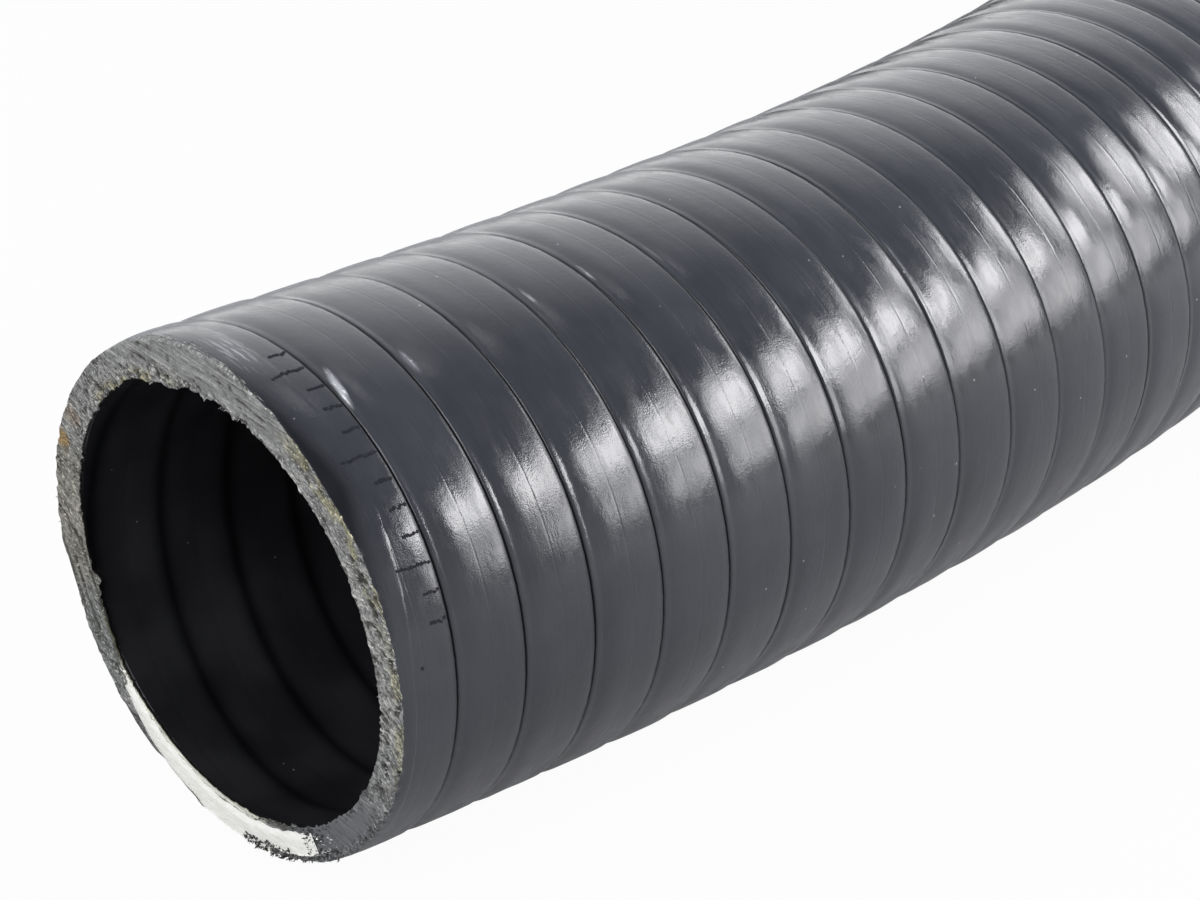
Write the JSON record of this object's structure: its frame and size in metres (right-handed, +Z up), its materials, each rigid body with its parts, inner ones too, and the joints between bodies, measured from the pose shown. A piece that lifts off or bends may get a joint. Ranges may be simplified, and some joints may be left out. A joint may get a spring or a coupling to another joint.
{
  "type": "waste hose",
  "caption": "Flexible waste hose with a smooth dark bore, a rigid helix in its wall and a ribbed grey cover, sawn off bare at both ends and lying in a gentle bend.",
  "frame": {"origin": "on the floor, below the middle of the outline of the hose", "axes": "-X out of the near cut end, +Y out of the far cut end, +Z up from the floor that the hose lies on"},
  "size_m": [0.6904, 0.6422, 0.088],
  "materials": {
    "soft_grey": "semi-gloss soft blue-grey, with rough pale sawn faces at both ends",
    "rigid_white": "rigid off-white, dull where it is sawn",
    "liner_black": "smooth near-black with a dull sheen"
  },
  "bodies": {
    "root": {"cover": "soft_grey", "rigid_helix": "rigid_white", "inner_liner": "liner_black"}
  },
  "joints": []
}
